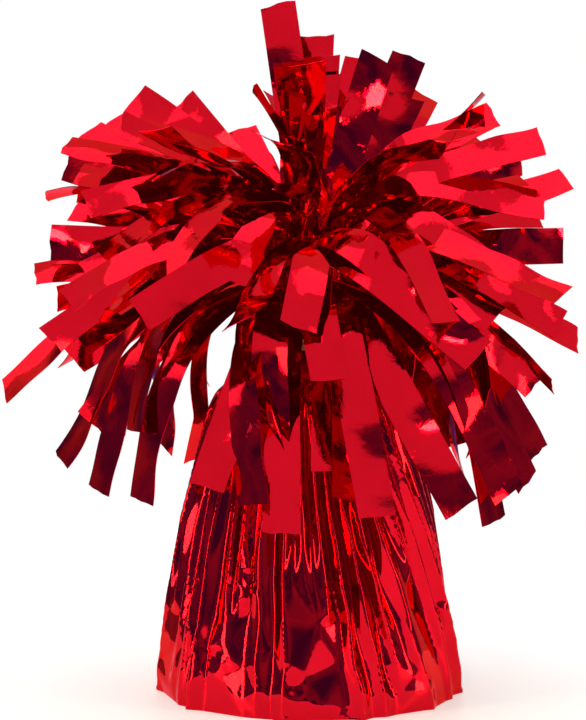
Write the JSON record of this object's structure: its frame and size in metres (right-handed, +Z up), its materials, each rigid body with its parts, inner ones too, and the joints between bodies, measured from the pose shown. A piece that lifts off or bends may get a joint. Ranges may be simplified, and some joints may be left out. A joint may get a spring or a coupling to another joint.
{
  "type": "foil balloon weight",
  "caption": "Tapered ballasted weight wrapped in mirror-finish film, gathered at a banded neck, with the film above it slit into a burst of flat strips.",
  "frame": {"origin": "centre of the flat underside", "axes": "+Z up out of the weight's top; -Y is the front"},
  "size_m": [0.1087, 0.1019, 0.124],
  "materials": {
    "red_film": "polished",
    "bell_plastic": "satin",
    "cement": "matte",
    "band_rubber": "satin"
  },
  "bodies": {
    "weight": {"weight_bell": "bell_plastic", "ballast": "cement", "base_closure": "bell_plastic", "foil_sheet_inner": "red_film", "foil_sheet_outer": "red_film", "rubber_band": "band_rubber"},
    "lower_tuft_1": {"lower_tuft_1": "red_film"},
    "lower_tuft_2": {"lower_tuft_2": "red_film"},
    "lower_tuft_3": {"lower_tuft_3": "red_film"},
    "lower_tuft_4": {"lower_tuft_4": "red_film"},
    "lower_tuft_5": {"lower_tuft_5": "red_film"},
    "lower_tuft_6": {"lower_tuft_6": "red_film"},
    "lower_tuft_7": {"lower_tuft_7": "red_film"},
    "lower_tuft_8": {"lower_tuft_8": "red_film"},
    "middle_tuft_1": {"middle_tuft_1": "red_film"},
    "middle_tuft_2": {"middle_tuft_2": "red_film"},
    "middle_tuft_3": {"middle_tuft_3": "red_film"},
    "middle_tuft_4": {"middle_tuft_4": "red_film"},
    "middle_tuft_5": {"middle_tuft_5": "red_film"},
    "middle_tuft_6": {"middle_tuft_6": "red_film"},
    "middle_tuft_7": {"middle_tuft_7": "red_film"},
    "middle_tuft_8": {"middle_tuft_8": "red_film"},
    "upper_tuft_1": {"upper_tuft_1": "red_film"},
    "upper_tuft_2": {"upper_tuft_2": "red_film"},
    "upper_tuft_3": {"upper_tuft_3": "red_film"},
    "upper_tuft_4": {"upper_tuft_4": "red_film"},
    "upper_tuft_5": {"upper_tuft_5": "red_film"},
    "upper_tuft_6": {"upper_tuft_6": "red_film"},
    "crown_tuft_1": {"crown_tuft_1": "red_film"},
    "crown_tuft_2": {"crown_tuft_2": "red_film"},
    "crown_tuft_3": {"crown_tuft_3": "red_film"}
  },
  "joints": [
    {"name": "lower_fold_1", "type": "hinge", "parent": "weight", "child": "lower_tuft_1", "pos_m": [0.00878, 0.00364, 0.076], "axis": [0.3827, -0.9239, 0], "range_deg": [-4, 8], "stiffness_Nm_per_rad": 0.01},
    {"name": "lower_fold_2", "type": "hinge", "parent": "weight", "child": "lower_tuft_2", "pos_m": [0.00364, 0.00878, 0.076], "axis": [0.9239, -0.3827, 0], "range_deg": [-4, 8], "stiffness_Nm_per_rad": 0.01},
    {"name": "lower_fold_3", "type": "hinge", "parent": "weight", "child": "lower_tuft_3", "pos_m": [-0.00364, 0.00878, 0.076], "axis": [0.9239, 0.3827, 0], "range_deg": [-4, 8], "stiffness_Nm_per_rad": 0.01},
    {"name": "lower_fold_4", "type": "hinge", "parent": "weight", "child": "lower_tuft_4", "pos_m": [-0.00878, 0.00364, 0.076], "axis": [0.3827, 0.9239, 0], "range_deg": [-4, 8], "stiffness_Nm_per_rad": 0.01},
    {"name": "lower_fold_5", "type": "hinge", "parent": "weight", "child": "lower_tuft_5", "pos_m": [-0.00878, -0.00364, 0.076], "axis": [-0.3827, 0.9239, 0], "range_deg": [-4, 8], "stiffness_Nm_per_rad": 0.01},
    {"name": "lower_fold_6", "type": "hinge", "parent": "weight", "child": "lower_tuft_6", "pos_m": [-0.00364, -0.00878, 0.076], "axis": [-0.9239, 0.3827, 0], "range_deg": [-4, 8], "stiffness_Nm_per_rad": 0.01},
    {"name": "lower_fold_7", "type": "hinge", "parent": "weight", "child": "lower_tuft_7", "pos_m": [0.00364, -0.00878, 0.076], "axis": [-0.9239, -0.3827, 0], "range_deg": [-4, 8], "stiffness_Nm_per_rad": 0.01},
    {"name": "lower_fold_8", "type": "hinge", "parent": "weight", "child": "lower_tuft_8", "pos_m": [0.00878, -0.00364, 0.076], "axis": [-0.3827, -0.9239, 0], "range_deg": [-4, 8], "stiffness_Nm_per_rad": 0.01},
    {"name": "middle_fold_1", "type": "hinge", "parent": "weight", "child": "middle_tuft_1", "pos_m": [0.0074, 0, 0.0795], "axis": [0, -1, 0], "range_deg": [-8, 8], "stiffness_Nm_per_rad": 0.01},
    {"name": "middle_fold_2", "type": "hinge", "parent": "weight", "child": "middle_tuft_2", "pos_m": [0.00523, 0.00523, 0.0795], "axis": [0.7071, -0.7071, 0], "range_deg": [-8, 8], "stiffness_Nm_per_rad": 0.01},
    {"name": "middle_fold_3", "type": "hinge", "parent": "weight", "child": "middle_tuft_3", "pos_m": [0, 0.0074, 0.0795], "axis": [1, 0, 0], "range_deg": [-8, 8], "stiffness_Nm_per_rad": 0.01},
    {"name": "middle_fold_4", "type": "hinge", "parent": "weight", "child": "middle_tuft_4", "pos_m": [-0.00523, 0.00523, 0.0795], "axis": [0.7071, 0.7071, 0], "range_deg": [-8, 8], "stiffness_Nm_per_rad": 0.01},
    {"name": "middle_fold_5", "type": "hinge", "parent": "weight", "child": "middle_tuft_5", "pos_m": [-0.0074, 0, 0.0795], "axis": [0, 1, 0], "range_deg": [-8, 8], "stiffness_Nm_per_rad": 0.01},
    {"name": "middle_fold_6", "type": "hinge", "parent": "weight", "child": "middle_tuft_6", "pos_m": [-0.00523, -0.00523, 0.0795], "axis": [-0.7071, 0.7071, 0], "range_deg": [-8, 8], "stiffness_Nm_per_rad": 0.01},
    {"name": "middle_fold_7", "type": "hinge", "parent": "weight", "child": "middle_tuft_7", "pos_m": [0, -0.0074, 0.0795], "axis": [-1, 0, 0], "range_deg": [-8, 8], "stiffness_Nm_per_rad": 0.01},
    {"name": "middle_fold_8", "type": "hinge", "parent": "weight", "child": "middle_tuft_8", "pos_m": [0.00523, -0.00523, 0.0795], "axis": [-0.7071, -0.7071, 0], "range_deg": [-8, 8], "stiffness_Nm_per_rad": 0.01},
    {"name": "upper_fold_1", "type": "hinge", "parent": "weight", "child": "upper_tuft_1", "pos_m": [0.0056, 0.0015, 0.0832], "axis": [0.2588, -0.9659, 0], "range_deg": [-8, 8], "stiffness_Nm_per_rad": 0.01},
    {"name": "upper_fold_2", "type": "hinge", "parent": "weight", "child": "upper_tuft_2", "pos_m": [0.0015, 0.0056, 0.0832], "axis": [0.9659, -0.2588, 0], "range_deg": [-8, 8], "stiffness_Nm_per_rad": 0.01},
    {"name": "upper_fold_3", "type": "hinge", "parent": "weight", "child": "upper_tuft_3", "pos_m": [-0.0041, 0.0041, 0.0832], "axis": [0.7071, 0.7071, 0], "range_deg": [-8, 8], "stiffness_Nm_per_rad": 0.01},
    {"name": "upper_fold_4", "type": "hinge", "parent": "weight", "child": "upper_tuft_4", "pos_m": [-0.0056, -0.0015, 0.0832], "axis": [-0.2588, 0.9659, 0], "range_deg": [-8, 8], "stiffness_Nm_per_rad": 0.01},
    {"name": "upper_fold_5", "type": "hinge", "parent": "weight", "child": "upper_tuft_5", "pos_m": [-0.0015, -0.0056, 0.0832], "axis": [-0.9659, 0.2588, 0], "range_deg": [-8, 8], "stiffness_Nm_per_rad": 0.01},
    {"name": "upper_fold_6", "type": "hinge", "parent": "weight", "child": "upper_tuft_6", "pos_m": [0.0041, -0.0041, 0.0832], "axis": [-0.7071, -0.7071, 0], "range_deg": [-8, 8], "stiffness_Nm_per_rad": 0.01},
    {"name": "crown_fold_1", "type": "hinge", "parent": "weight", "child": "crown_tuft_1", "pos_m": [0, 0.0029, 0.0842], "axis": [1, 0, 0], "range_deg": [-8, 0], "stiffness_Nm_per_rad": 0.01},
    {"name": "crown_fold_2", "type": "hinge", "parent": "weight", "child": "crown_tuft_2", "pos_m": [-0.00251, -0.00145, 0.0842], "axis": [-0.5, 0.866, 0], "range_deg": [-8, 0], "stiffness_Nm_per_rad": 0.01},
    {"name": "crown_fold_3", "type": "hinge", "parent": "weight", "child": "crown_tuft_3", "pos_m": [0.00251, -0.00145, 0.0842], "axis": [-0.5, -0.866, 0], "range_deg": [-8, 0], "stiffness_Nm_per_rad": 0.01}
  ]
}
